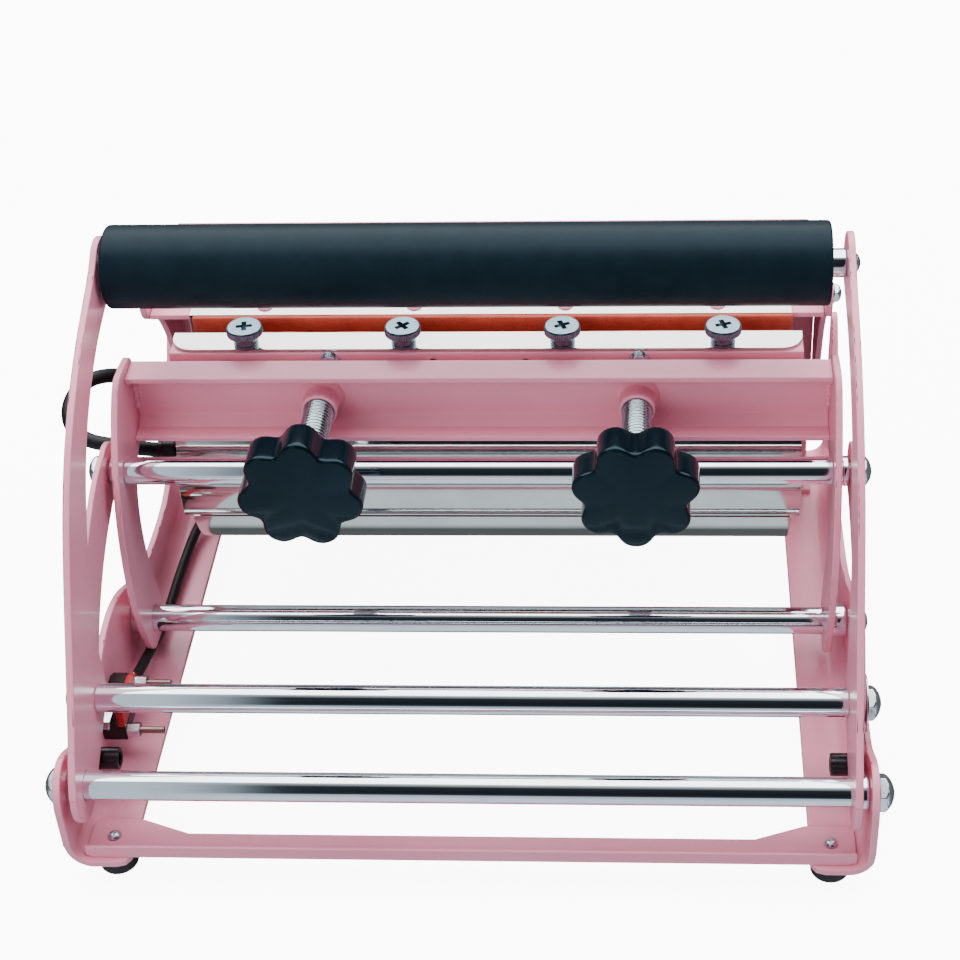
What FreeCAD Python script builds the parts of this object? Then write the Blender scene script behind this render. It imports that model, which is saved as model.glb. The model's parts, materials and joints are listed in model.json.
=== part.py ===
import FreeCAD, Part
import math
import os

# Hand-lever tumbler press: a fixed base that carries the rear half of a
# heated sleeve, and a hinged frame that carries the front half.
# Frame: millimetres, +Z up, -Y is the operator side, origin on the table
# under the middle of the object.

V = FreeCAD.Vector
os.makedirs("parts", exist_ok=True)
doc = FreeCAD.newDocument("tumbler_press")
sheet = doc.addObject("Spreadsheet::Sheet", "params")
_row = [0]
VAL = {}


def cell(name, value):
    _row[0] += 1
    r = str(_row[0])
    sheet.set("A" + r, name)
    sheet.set("B" + r, str(value))
    sheet.setAlias("B" + r, name)
    VAL[name] = float(value)


# sheet thicknesses and stations along X (half widths)
cell("plate_thick", 3.0)
cell("link_thick", 2.5)
cell("jaw_station", 150.0)
cell("lever_station", 153.5)
cell("link_station", 156.9)
cell("web_station", 160.0)
cell("cheek_station", 149.8)
cell("base_length", 283.0)
# bars
cell("rod_radius", 6.0)
cell("hinge_radius", 6.05)
cell("base_rod_length", 320.0)
cell("lever_rod_length", 307.0)
cell("jaw_rod_length", 300.0)
# grip
cell("grip_radius", 17.5)
cell("grip_bore", 6.05)
cell("grip_length", 298.8)
cell("grip_shift", -2.2)
cell("axle_radius", 6.0)
# heated sleeve
cell("shell_length", 274.0)
cell("sleeve_shift", 2.0)
cell("pad_shift", 3.0)
cell("rear_shell_length", 267.0)
cell("pad_length", 265.5)
cell("rear_pad_length", 265.5)
cell("angle_length", 274.0)
cell("beam_length", 300.0)
cell("bracket_length", 299.0)
cell("panel_thick", 2.5)
cell("cross_thick", 2.5)
cell("lip_height", 6.3)
# clamp screws
cell("screw_radius", 6.4)
cell("screw_span", 68.0)
cell("boss_radius", 7.7)
cell("boss_height", 11.6)
cell("knob_thick", 17.0)
cell("hub_radius", 11.0)
# small hardware
cell("foot_radius", 8.0)
cell("foot_height", 10.0)
cell("foot_station", 146.7)
cell("bumper_radius", 4.75)
cell("bumper_length", 13.0)
cell("switch_thick", 10.3)
cell("cover_thick", 3.3)
doc.recompute()

Y0 = 126.5
Z0 = 13.0


def yz(y, z):
    return V(y - Y0, z + Z0, 0)


# pivots in the side view (y back from the front pivot, z above the base strip)
P4 = (1.0, 31.0)
P3 = (34.0, 48.0)
P1 = (116.0, 103.0)
P2 = (115.0, 20.0)
PG = (150.0, 184.0)
HC = (181.0, 74.0)
SCREW_Z = 120.0


# ---------------------------------------------------------------- helpers
def line(a, b):
    return Part.LineSegment(a, b)


def arc(a, m, b):
    return Part.Arc(a, m, b)


def circ(c, r):
    return Part.Circle(c, V(0, 0, 1), r)


def spline(pts):
    c = Part.BSplineCurve()
    c.interpolate(pts)
    return c


def closed_spline(pts):
    c = Part.BSplineCurve()
    c.interpolate(pts, PeriodicFlag=True)
    return c


def poly(pts):
    return [line(pts[i], pts[(i + 1) % len(pts)]) for i in range(len(pts))]


def plane(body, role):
    for f in body.Origin.OriginFeatures:
        if f.Role == role:
            return f


def sketch(body, name, role, geos, off=0.0):
    sk = body.newObject("Sketcher::SketchObject", name)
    sk.AttachmentSupport = [(plane(body, role), "")]
    sk.MapMode = "FlatFace"
    sk.AttachmentOffset = FreeCAD.Placement(V(0, 0, off), FreeCAD.Rotation())
    sk.addGeometry(geos, False)
    return sk


def new_body(label):
    b = doc.addObject("PartDesign::Body", label)
    b.Label = label
    return b


def pad(body, sk, expr=None, length=None, mid=False, rev=False):
    p = body.newObject("PartDesign::Pad", body.Name + "_pad")
    p.Profile = sk
    if expr:
        p.setExpression("Length", expr)
    else:
        p.Length = length
    p.Midplane = mid
    p.Reversed = rev
    sk.Visibility = False
    doc.recompute()
    return p


def cut(body, sk, length=None, mid=True, rev=False):
    before = body.Shape.Volume
    p = body.newObject("PartDesign::Pocket", body.Name + "_cut")
    p.Profile = sk
    if length is None:
        p.Type = 1
        p.Midplane = mid
    else:
        p.Length = length
        p.Midplane = mid
        p.Reversed = rev
    sk.Visibility = False
    doc.recompute()
    if body.Shape.Volume > before - 1e-6:
        print("cut removes nothing", body.Label)
    return p


def side_plate(label, geos, thick, x_expr):
    # flat plate in the side view
    b = new_body(label)
    pad(b, sketch(b, label + "_outline", "YZ_Plane", geos), thick)
    b.setExpression("Placement.Base.x", x_expr)
    return b


def extrusion(label, geos, length_expr, shift_expr=None):
    # constant section along X, centred on X = 0 or on the given offset
    b = new_body(label)
    pad(b, sketch(b, label + "_section", "YZ_Plane", geos), length_expr, mid=True)
    if shift_expr:
        b.setExpression("Placement.Base.x", shift_expr)
    return b


def along_x(obj, y, z, x=None, x_expr=None):
    obj.Placement = FreeCAD.Placement(
        V(x or 0.0, y - Y0, z + Z0), FreeCAD.Rotation(V(0, 1, 0), 90))
    if x_expr:
        obj.setExpression("Placement.Base.x", x_expr)


def rod(label, centre, radius_expr, length_expr):
    c = doc.addObject("Part::Cylinder", label)
    c.Label = label
    c.setExpression("Radius", radius_expr)
    c.setExpression("Height", length_expr)
    along_x(c, centre[0], centre[1], x_expr="-" + length_expr + " / 2")
    return c


_n = [0]


def prim(kind, **kw):
    _n[0] += 1
    o = doc.addObject("Part::" + kind, "prim%d" % _n[0])
    for k, v in kw.items():
        if isinstance(v, str):
            o.setExpression(k, v)
        else:
            setattr(o, k, v)
    return o


def fuse(objs):
    _n[0] += 1
    f = doc.addObject("Part::MultiFuse", "fuse%d" % _n[0])
    f.Shapes = objs
    f.Refine = True
    return f


def minus(a, b):
    _n[0] += 1
    f = doc.addObject("Part::Cut", "minus%d" % _n[0])
    f.Base = a
    f.Tool = b
    return f


def common(a, b):
    _n[0] += 1
    f = doc.addObject("Part::MultiCommon", "common%d" % _n[0])
    f.Shapes = [a, b]
    return f


def group(label, objs):
    g = doc.addObject("Part::Compound", label)
    g.Label = label
    g.Links = objs
    return g


def at(o, x, y, z, axis="z"):
    rot = {"z": FreeCAD.Rotation(),
           "+x": FreeCAD.Rotation(V(0, 1, 0), 90),
           "-x": FreeCAD.Rotation(V(0, 1, 0), -90),
           "+y": FreeCAD.Rotation(V(1, 0, 0), -90),
           "-y": FreeCAD.Rotation(V(1, 0, 0), 90),
           "-z": FreeCAD.Rotation(V(1, 0, 0), 180)}[axis]
    o.Placement = FreeCAD.Placement(V(x, y - Y0, z + Z0), rot)
    return o


def shift(o, dz):
    o.Placement = FreeCAD.Placement(V(0, 0, dz), FreeCAD.Rotation())
    return o


def cyl(r, h, dz=0.0):
    return shift(prim("Cylinder", Radius=r, Height=h), dz)


def domed_hex(rad, h, dz):
    # hex head with a ball-turned crown
    p = shift(prim("Prism", Polygon=6, Circumradius=rad, Height=h), dz)
    s = prim("Sphere", Radius=rad * 1.22)
    shift(s, dz + h - rad * 1.22)
    return common(p, s)


def bolt(x, y, z, axis, shank_r, shank, washer_r, washer_t, head_r, head_h):
    # shank starts at (x, y, z) and runs outwards to washer and head
    parts = [cyl(shank_r, shank + 0.1),
             cyl(washer_r, washer_t, shank),
             domed_hex(head_r, head_h, shank + washer_t - 0.05)]
    return at(fuse(parts), x, y, z, axis)


def pan_screw(x, y, z, axis, r, h, shank_r, shank):
    # rounded head above the seat, shank below it, hex recess in the crown
    hd = common(cyl(r, h), shift(prim("Sphere", Radius=r * 1.25), h - r * 1.25))
    body = fuse([hd, shift(prim("Cylinder", Radius=shank_r, Height=shank + 0.1), -shank)])
    key = shift(prim("Prism", Polygon=6, Circumradius=r * 0.42, Height=h), h * 0.45)
    return at(minus(body, key), x, y, z, axis)


def ring(x, y, z, axis, r_out, r_in, h):
    return at(minus(cyl(r_out, h), shift(prim("Cylinder", Radius=r_in, Height=h + 2), -1)), x, y, z, axis)


def pol(c, r, deg):
    a = math.radians(deg)
    return (c[0] + r * math.cos(a), c[1] + r * math.sin(a))


def arc_pts(c, r, a0, a1):
    m = 0.5 * (a0 + a1)
    return arc(yz(*pol(c, r, a0)), yz(*pol(c, r, m)), yz(*pol(c, r, a1)))


# ------------------------------------------------------------- base
# side frames: bent sheet, a web with a foot strip turned inwards
BR = 10.0


def side_frame(label, s):
    b = new_body(label)
    t = VAL["plate_thick"]
    xi, xo = VAL["web_station"], VAL["web_station"] + t
    zb, zt = Z0 - t, Z0 + 98.0
    inner = 138.0

    def q(x, z):
        return V(s * x, z, 0)

    k = math.sqrt(0.5)
    g = [line(q(inner, zb), q(xo - BR, zb)),
         arc(q(xo - BR, zb), q(xo - BR + BR * k, zb + BR - BR * k), q(xo, zb + BR)),
         line(q(xo, zb + BR), q(xo, zt)),
         line(q(xo, zt), q(xi, zt)),
         line(q(xi, zt), q(xi, zb + BR)),
         arc(q(xi, zb + BR), q(xo - BR + (BR - t) * k, zb + BR - (BR - t) * k), q(xo - BR, Z0)),
         line(q(xo - BR, Z0), q(inner, Z0)),
         line(q(inner, Z0), q(inner, zb))]
    pad(b, sketch(b, label + "_section", "XZ_Plane", g), "params.base_length", mid=True)
    # trim the web to its outline; the front lug is round about the lever pivot
    lug = 16.0
    pts = [pol(P4, lug, 100), (8, 43.5), (15, 39.2), (24, 35.4), (35, 34.2), (46, 35.0), (58, 38.2),
           (70, 43.0), (84, 46.0), (98, 45.0), (112, 40.0), (130, 30.5), (148, 24.5),
           (170, 22.5), (195, 23.5), (210, 29.0), (224, 43.0), (238, 62.0), (250, 79.0), (258, 87.0)]
    g = [line(yz(-20, 110), yz(-20, 31)), line(yz(-20, 31), yz(P4[0] - lug, 31)),
         arc(yz(P4[0] - lug, 31), yz(*pol(P4, lug, 140)), yz(*pts[0])),
         spline([yz(*p) for p in pts]),
         arc(yz(*pts[-1]), yz(263.5, 86.6), yz(265, 80)),
         line(yz(265, 80), yz(265, 20)), line(yz(265, 20), yz(275, 20)),
         line(yz(275, 20), yz(275, 110)), line(yz(275, 110), yz(-20, 110))]
    cut(b, sketch(b, label + "_trim", "YZ_Plane", g))
    # bolt holes, the lead clip hole and the front corner of the strip
    g = [circ(yz(*P4), 4.2), circ(yz(*P2), 4.2)]
    cut(b, sketch(b, label + "_holes", "YZ_Plane", g))
    g = []
    for yy in (-0.1, 252.0):
        g.append(circ(V(s * VAL["foot_station"], yy - Y0, 0), 2.6))
    cut(b, sketch(b, label + "_foot_holes", "XY_Plane", g, Z0 - t - 1), length=t + 2, mid=False, rev=True)
    # the strip stops short of the lug and its inner corner is clipped
    g = [line(yz(-20, -6), yz(-12.3, -6)), line(yz(-12.3, -6), yz(-12.3, 0.5)), arc(yz(-12.3, 0.5), yz(-13.1, 6.5), yz(-15.0, 12.0)),
         line(yz(-15.0, 12.0), yz(-20, 12.0)), line(yz(-20, 12.0), yz(-20, -6))]
    cut(b, sketch(b, label + "_front_trim", "YZ_Plane", g))
    g = poly([V(s * x, y - Y0, 0) for x, y in ((144.0, -14.0), (144.0, -12.3), (140.2, -11.2), (138.0, -8.2), (136.0, -8.2), (136.0, -14.0))])
    cut(b, sketch(b, label + "_corner", "XY_Plane", g, Z0 - t - 1), length=t + 2, mid=False, rev=True)
    return b


side_frame("side_frame_left", -1)
side_frame("side_frame_right", 1)


# front cross plate: narrow bar with splayed ends and an upstanding lip
def mirror_pts(pts):
    return pts + [(-x, y) for x, y in reversed(pts)]


b = new_body("front_cross_plate")
half = [(0, 2.0), (116, 2.0), (136.5, 9.5), (154.0, 9.5), (156.5, 7.0), (156.5, -9.7), (0, -9.7)]
pts = [V(x, y - Y0, 0) for x, y in half[1:-1]] + [V(-x, y - Y0, 0) for x, y in reversed(half[1:-1])]
pad(b, sketch(b, "front_cross_outline", "XY_Plane", poly(pts), Z0), "params.cross_thick")
lip = [V(156.5, -9.7 - Y0, 0), V(-156.5, -9.7 - Y0, 0), V(-156.5, -8.2 - Y0, 0), V(156.5, -8.2 - Y0, 0)]
pad(b, sketch(b, "front_cross_lip", "XY_Plane", poly(lip), Z0), "params.lip_height")
g = [circ(V(s * VAL["foot_station"], -0.1 - Y0, 0), 2.6) for s in (-1, 1)]
cut(b, sketch(b, "front_cross_holes", "XY_Plane", g, Z0 - 1), length=6, mid=False, rev=True)
# relief under both ends, where the side frames bend up
g = []
for s in (-1, 1):
    g += poly([V(s * 152.9, Z0 - 1, 0), V(s * 159, Z0 - 1, 0), V(s * 159, Z0 + 2.3, 0), V(s * 152.9, Z0, 0)])
cut(b, sketch(b, "front_cross_relief", "XZ_Plane", g))

# rear cross plate ties the two strips together under the rear panel
b = new_body("rear_cross_plate")
pts = [V(x, y - Y0, 0) for x, y in ((-152, 232), (152, 232), (152, 266), (-152, 266))]
g = poly(pts) + [circ(V(s * VAL["foot_station"], 252 - Y0, 0), 2.6) for s in (-1, 1)]
g += [circ(V(x, 249 - Y0, 0), 2.6) for x in (-110, 0, 110)]
pad(b, sketch(b, "rear_cross_outline", "XY_Plane", g, Z0), "params.cross_thick")

fs = VAL["foot_station"]
group("foot_screws", [pan_screw(s * fs, yy, 2.5, "z", 2.7, 1.9, 2.4, 5.4) for s in (-1, 1) for yy in (-0.1, 252.0)])


def foot(x, y):
    # rubber foot: short cylinder with a rounded lower rim
    c = common(prim("Cylinder", Radius="params.foot_radius", Height="params.foot_height"),
               shift(prim("Sphere", Radius=14.0), 12.2))
    return at(c, x, y, -13.0)


group("rubber_feet", [foot(s * fs, yy) for s in (-1, 1) for yy in (-0.1, 252.0)])

# rear panel with a foot flange
b = new_body("rear_panel")
t = VAL["panel_thick"]
g = poly([yz(238, 2.5), yz(258, 2.5), yz(258, 2.5 + t), yz(238 + t, 2.5 + t), yz(238 + t, 152), yz(238, 152)])
pad(b, sketch(b, "rear_panel_section", "YZ_Plane", g), "params.bracket_length", mid=True)
hx = VAL["bracket_length"] / 2
g = poly([V(hx + 1, Z0 + 142, 0), V(hx + 1, Z0 + 154, 0), V(144.5, Z0 + 154, 0), V(144.5, Z0 + 152, 0), V(hx, Z0 + 143, 0)])
g += poly([V(-hx - 1, Z0 + 142, 0), V(-hx - 1, Z0 + 154, 0), V(-144.5, Z0 + 154, 0), V(-144.5, Z0 + 152, 0), V(-hx, Z0 + 143, 0)])
# inlet hole and a row of vent slots
g += [circ(V(-100, Z0 + 40, 0), 8.2)]
for i in range(7):
    x = -30 + 10 * i
    g += [arc(V(x - 2, Z0 + 70, 0), V(x, Z0 + 72, 0), V(x + 2, Z0 + 70, 0)), line(V(x + 2, Z0 + 70, 0), V(x + 2, Z0 + 40, 0)),
          arc(V(x + 2, Z0 + 40, 0), V(x, Z0 + 38, 0), V(x - 2, Z0 + 40, 0)), line(V(x - 2, Z0 + 40, 0), V(x - 2, Z0 + 70, 0))]
cut(b, sketch(b, "rear_panel_openings", "XZ_Plane", g))
g = [circ(V(x, 249 - Y0, 0), 2.6) for x in (-110, 0, 110)]
g += poly([V(151, 241 - Y0, 0), V(151, 260 - Y0, 0), V(139, 260 - Y0, 0), V(139, 241 - Y0, 0)])
g += poly([V(-151, 241 - Y0, 0), V(-151, 260 - Y0, 0), V(-139, 260 - Y0, 0), V(-139, 241 - Y0, 0)])
cut(b, sketch(b, "rear_panel_foot_holes", "XY_Plane", g, Z0 + 1), length=6, mid=False, rev=True)
group("panel_foot_screws", [pan_screw(x, 249, 5.0, "z", 3.6, 2.4, 2.4, 5.0) for x in (-110, 0, 110)])

# hollow gland for the supply lead, in the rear panel
gl = minus(fuse([shift(prim("Prism", Polygon=6, Circumradius=11.0, Height=5.0), 0.0), cyl(8.0, 9.0, -4.0), cyl(7.6, 7.0, 5.0)]),
           shift(prim("Cylinder", Radius=4.2, Height=30.0), -10.0))
gl.Label = "supply_gland"
at(gl, -100, 240.5, 40, "+y")

# rear bracket: angle that carries the rear edge of the sleeve
b = extrusion("rear_bracket", poly([yz(187, 133.4), yz(235.5, 133.4), yz(235.5, 108), yz(238, 108), yz(238, 135.9), yz(187, 135.9)]),
              "params.bracket_length")
REAR_X = (-98.0, -31.0, 36.0, 103.0)
g = [circ(V(x, 191.5 - Y0, 0), 2.1) for x in REAR_X]
cut(b, sketch(b, "rear_bracket_holes", "XY_Plane", g, Z0 + 132), length=6, mid=False, rev=True)

# cheeks brace the bracket to the panel
g = [spline([yz(*p) for p in ((184.2, 143), (184.6, 137.5), (188, 133.2), (196, 129.5), (208, 120), (219, 100), (227, 76))]),
     line(yz(227, 76), yz(230, 66)), line(yz(230, 66), yz(240.5, 66)), line(yz(240.5, 66), yz(240.5, 146)), line(yz(240.5, 146), yz(236.5, 150)),
     line(yz(236.5, 150), yz(191.2, 150)), arc(yz(191.2, 150), yz(186.25, 147.95), yz(184.2, 143)),
     circ(yz(191.5, 143), 2.6)]
side_plate("rear_cheek_left", g, "params.plate_thick", "-params.cheek_station - params.plate_thick")
side_plate("rear_cheek_right", g, "params.plate_thick", "params.cheek_station")
group("cheek_bolts", [bolt(s * 149.8, 191.5, 143, "+x" if s > 0 else "-x", 2.4, 3.0, 4.6, 0.8, 4.4, 3.4) for s in (-1, 1)])

# rear half of the sleeve: stainless shell with a top lip and flange
# its centre is a little below the front half
HR = (181.0, 70.0)
ro, ri = 43.2, 42.0
a_lip_o = math.degrees(math.acos((186.2 - HR[0]) / ro))
a_lip_i = math.degrees(math.acos((185.0 - HR[0]) / ri))
A_REAR = 194.0
g = [arc_pts(HR, ro, A_REAR, a_lip_o + 360), line(yz(*pol(HR, ro, a_lip_o)), yz(186.2, 136.0)), line(yz(186.2, 136.0), yz(195.5, 136.0)),
     line(yz(195.5, 136.0), yz(195.5, 137.2)), line(yz(195.5, 137.2), yz(185.0, 137.2)), line(yz(185.0, 137.2), yz(*pol(HR, ri, a_lip_i))),
     arc_pts(HR, ri, a_lip_i + 360, A_REAR), line(yz(*pol(HR, ri, A_REAR)), yz(*pol(HR, ro, A_REAR)))]
b = extrusion("rear_shell", g, "params.rear_shell_length", "params.sleeve_shift")
g = [circ(V(x - VAL["sleeve_shift"], 191.5 - Y0, 0), 2.1) for x in REAR_X]
cut(b, sketch(b, "rear_shell_holes", "XY_Plane", g, Z0 + 135), length=4, mid=False, rev=True)
group("rear_clamp_screws", [pan_screw(x, 191.5, 137.2, "z", 3.5, 2.0, 1.9, 6.0) for x in REAR_X])

# silicone heating pad of the rear half, turned up behind the gap
po, pi_ = 42.0, 37.7
A_PAD = 214.0
a_o = math.degrees(math.acos((185.0 - HR[0]) / po))
a_i = math.degrees(math.acos((182.6 - HR[0]) / pi_))
g = [arc_pts(HR, po, A_PAD, a_o + 360), line(yz(*pol(HR, po, a_o)), yz(185.0, 137.0)), line(yz(185.0, 137.0), yz(182.6, 137.0)),
     line(yz(182.6, 137.0), yz(*pol(HR, pi_, a_i))), arc_pts(HR, pi_, a_i + 360, A_PAD), line(yz(*pol(HR, pi_, A_PAD)), yz(*pol(HR, po, A_PAD)))]
extrusion("rear_heater_pad", g, "params.rear_pad_length", "params.pad_shift")

# fixed pivot bars with their bolts and spacers
rod("pivot_bar_lever", P4, "params.rod_radius", "params.base_rod_length")
rod("pivot_bar_frame", P2, "params.rod_radius", "params.base_rod_length")
group("lever_pivot_bolts", [bolt(s * 160, P4[0], P4[1], "+x" if s > 0 else "-x", 4.0, 3.0, 9.0, 1.0, 8.0, 6.2) for s in (-1, 1)])
group("frame_pivot_bolts", [bolt(s * 160, P2[0], P2[1], "+x" if s > 0 else "-x", 4.0, 3.0, 9.0, 1.0, 7.2, 5.6) for s in (-1, 1)])
group("lever_pivot_spacers", [ring(s * 156.9, P4[0], P4[1], "+x" if s > 0 else "-x", 7.2, 6.0, 3.1) for s in (-1, 1)])
group("frame_pivot_spacers", [ring(s * 153.4, P2[0], P2[1], "+x" if s > 0 else "-x", 7.4, 6.0, 6.6) for s in (-1, 1)])

# rubber stops the lever lands on
BUMP = (26.5, 20.4)


def bumper(s):
    c = minus(prim("Cylinder", Radius="params.bumper_radius", Height="params.bumper_length"), shift(prim("Cylinder", Radius=2.9, Height=5.0), 9.0))
    return at(c, s * 160, BUMP[0], BUMP[1], "-x" if s > 0 else "+x")


group("stop_bumpers", [bumper(s) for s in (-1, 1)])
group("bumper_screws", [at(common(cyl(2.7, 2.2), shift(prim("Sphere", Radius=3.4), -1.2)), s * 151.0, BUMP[0], BUMP[1], "-x" if s > 0 else "+x") for s in (-1, 1)])

# snap switch on the inside of the left web
SW = (61.0, 18.5)
LOW_HOLE, TOP_HOLE = (SW[0] - 11.1, SW[1] - 4.6), (SW[0] + 9.6, SW[1] + 3.4)
b = new_body("switch_body")
g = poly([yz(SW[0] - 13.9, SW[1] - 7.9), yz(SW[0] + 13.9, SW[1] - 7.9), yz(SW[0] + 13.9, SW[1] + 5.4), yz(SW[0] + 9.0, SW[1] + 7.9), yz(SW[0] - 13.9, SW[1] + 7.9)])
g += [circ(yz(*LOW_HOLE), 1.6), circ(yz(*TOP_HOLE), 1.6)]
pad(b, sketch(b, "switch_body_outline", "YZ_Plane", g), "params.switch_thick - params.cover_thick")
g = poly([yz(SW[0] - 13.9, SW[1] - 7.9), yz(SW[0] + 13.9, SW[1] - 7.9), yz(SW[0] + 13.9, SW[1] - 1.2), yz(SW[0] - 13.9, SW[1] - 1.2)])
g += [circ(yz(*LOW_HOLE), 1.6)]
pad(b, sketch(b, "switch_body_foot", "YZ_Plane", g), "params.switch_thick")
b.setExpression("Placement.Base.x", "-params.web_station")
# cover over the upper half of the switch
b = new_body("switch_cap")
g = poly([yz(SW[0] - 13.4, SW[1] - 1.0), yz(SW[0] + 13.5, SW[1] - 1.0), yz(SW[0] + 13.5, SW[1] + 5.4), yz(SW[0] + 9.0, SW[1] + 7.9), yz(SW[0] - 13.4, SW[1] + 7.9)])
g += [circ(yz(*TOP_HOLE), 1.6)]
pad(b, sketch(b, "switch_cap_outline", "YZ_Plane", g), "params.cover_thick")
b.Placement.Base.x = -160 + 10.3 - VAL["cover_thick"]


def long_screw(y, z):
    # through screw with its nut
    return at(fuse([cyl(1.5, 26.0), shift(prim("Prism", Polygon=6, Circumradius=3.3, Height=2.6), 10.4),
                    shift(prim("Prism", Polygon=6, Circumradius=3.3, Height=2.6), 13.0)]), -160.0, y, z, "+x")


group("switch_screws", [long_screw(SW[0] - 11.1, SW[1] - 4.6), long_screw(SW[0] + 9.6, SW[1] + 3.4)])
group("switch_terminals", [at(prim("Box", Length=0.8, Width=7.0, Height=4.6), -157.0 + i * 3.0, SW[0] + 13.9, SW[1] - 5.6) for i in range(2)])

# ------------------------------------------------------------- lever
front = [(-13.2, 36.4), (-8.2, 46.2), (-1.0, 56.5), (7.0, 69.0), (16.0, 83.5), (27.0, 101.5), (40.0, 121.5), (52.0, 137.5), (66.0, 152.0),
         (82.0, 164.3), (100.0, 174.8), (118.0, 182.8), (134.0, 189.4)]
rear = [(154.5, 171.8), (140.0, 169.0), (122.0, 163.8), (105.0, 155.6), (90.0, 145.0), (77.0, 131.5), (66.0, 115.5), (57.0, 98.5), (51.0, 81.5), (48.0, 67.0)]
ra4, ra3, rag = 15.0, 13.0, 13.0
dx, dz = P3[0] - P4[0], P3[1] - P4[1]
dd = math.hypot(dx, dz)
ang = math.degrees(math.atan2(dz, dx)) - 90.0 + math.degrees(math.asin((ra4 - ra3) / dd)) * -1.0
low4 = pol(P4, ra4, ang)
low3 = pol(P3, ra3, ang)
top = pol(PG, rag, 118)
bot = rear[0]
lug_out = pol(P3, ra3, 8)


def lever_geo(r4, r3, rg):
    g = [spline([yz(*p) for p in front] + [yz(*top)]),
         arc(yz(*top), yz(*pol(PG, rag, 10)), yz(*pol(PG, rag, -70))),
         spline([yz(*pol(PG, rag, -70))] + [yz(*p) for p in rear[1:]] + [yz(*lug_out)]),
         arc(yz(*lug_out), yz(*pol(P3, ra3, 0.5 * (8 + ang))), yz(*low3)),
         line(yz(*low3), yz(*low4)),
         arc(yz(*low4), yz(*pol(P4, ra4, 228)), yz(*pol(P4, ra4, 160))),
         line(yz(*pol(P4, ra4, 160)), yz(*front[0]))]
    g += [circ(yz(*P4), r4), circ(yz(*P3), r3), circ(yz(*PG), rg)]
    return g


lg = lever_geo(VAL["hinge_radius"], 3.2, 3.2)
side_plate("lever_left", lg, "params.plate_thick", "-params.lever_station - params.plate_thick")
side_plate("lever_right", lg, "params.plate_thick", "params.lever_station")
rod("cross_bar_lever", P3, "params.rod_radius", "params.lever_rod_length")
rod("grip_axle", PG, "params.axle_radius", "params.lever_rod_length")
# the link pivot: bolt shank is narrower than the hole in the link, the
# broad washer covers the difference
group("lever_link_bolts", [bolt(s * 153.5, P3[0], P3[1], "+x" if s > 0 else "-x", 3.0, 6.3, 11.8, 0.9, 7.6, 6.0) for s in (-1, 1)])
group("grip_bolts", [bolt(s * 153.5, PG[0], PG[1], "+x" if s > 0 else "-x", 3.0, 3.0, 5.4, 0.8, 4.6, 2.2) for s in (-1, 1)])

# roller grip: soft sleeve on two end bushings
b = new_body("grip_sleeve")
pad(b, sketch(b, "grip_sleeve_section", "YZ_Plane", [circ(yz(*PG), VAL["grip_radius"]), circ(yz(*PG), 14.0)]), "params.grip_length", mid=True)
b.setExpression("Placement.Base.x", "params.grip_shift")
group("grip_bushings", [ring(s * VAL["grip_length"] / 2 + VAL["grip_shift"], PG[0], PG[1], "-x" if s > 0 else "+x", 14.0, VAL["grip_bore"], 16.0) for s in (-1, 1)])

# ------------------------------------------------------------- links
# slack in the lower hole, see the record: the four pivots form a loop
SLACK = (2.27, 3.33)
HOLE3 = (P3[0] + SLACK[0], P3[1] + SLACK[1])
up = [(38.5, 72.0), (50.0, 84.5), (65.0, 96.5), (82.0, 106.5), (99.0, 113.2)]
dn = [(104.0, 87.2), (92.0, 82.2), (79.0, 74.5), (66.0, 64.0), (54.0, 51.2)]
r3l, r1l = 12.4, 12.5
ua, ub = pol(HOLE3, r3l, 128), pol(P1, r1l, 112)
da, db = pol(HOLE3, r3l, -48), pol(P1, r1l, -98)
LINK_HOLE = 7.6
g = [spline([yz(*ua)] + [yz(*p) for p in up] + [yz(*ub)]), arc(yz(*ub), yz(*pol(P1, r1l, 7)), yz(*db)),
     spline([yz(*db)] + [yz(*p) for p in dn] + [yz(*da)]), arc(yz(*da), yz(*pol(HOLE3, r3l, 223)), yz(*ua)),
     circ(yz(*HOLE3), LINK_HOLE), circ(yz(*P1), 4.05)]
side_plate("link_left", g, "params.link_thick", "-params.link_station - params.link_thick")
side_plate("link_right", g, "params.link_thick", "params.link_station")

# ------------------------------------------------------------- hinged frame
fr = [(100.5, 17.0), (95.6, 34.0), (93.2, 54.0), (94.6, 75.0), (99.0, 95.0), (107.0, 114.0), (115.0, 126.6), (121.5, 134.6), (126.5, 139.0)]
bk = [(151.4, 131.0), (150.6, 112.0), (148.0, 104.5), (141.0, 99.5), (131.5, 93.5), (124.6, 82.0), (121.6, 68.0), (122.0, 50.0), (125.5, 34.0)]
ta, tb = (131.0, 140.9), (151.2, 135.5)
ea = pol(P2, 14.0, 12)
eb = pol(P2, 14.0, 192)
g = [spline([yz(*eb)] + [yz(*p) for p in fr[1:]] + [yz(*ta)]), spline([yz(*p) for p in (ta, (138.5, 140.7), (144.5, 140.1), (149.3, 138.9), tb)]),
     spline([yz(*tb)] + [yz(*p) for p in bk] + [yz(*ea)]), arc(yz(*ea), yz(*pol(P2, 14.0, -78)), yz(*eb)),
     circ(yz(*P2), VAL["hinge_radius"]), circ(yz(*P1), 4.1)]
side_plate("frame_plate_left", g, "params.plate_thick", "-params.jaw_station - params.plate_thick")
side_plate("frame_plate_right", g, "params.plate_thick", "params.jaw_station")

b = extrusion("channel_beam", poly([yz(135.5, 104), yz(143.9, 104), yz(149.5, 109.5), yz(149.5, 137), yz(135.5, 137), yz(135.5, 134.5), yz(147, 134.5), yz(147, 110.5), yz(142.9, 106.5), yz(135.5, 106.5)]),
              "params.beam_length")
g = [circ(V(s * VAL["screw_span"], Z0 + SCREW_Z, 0), 6.45) for s in (-1, 1)]
cut(b, sketch(b, "channel_beam_holes", "XZ_Plane", g))


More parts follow.
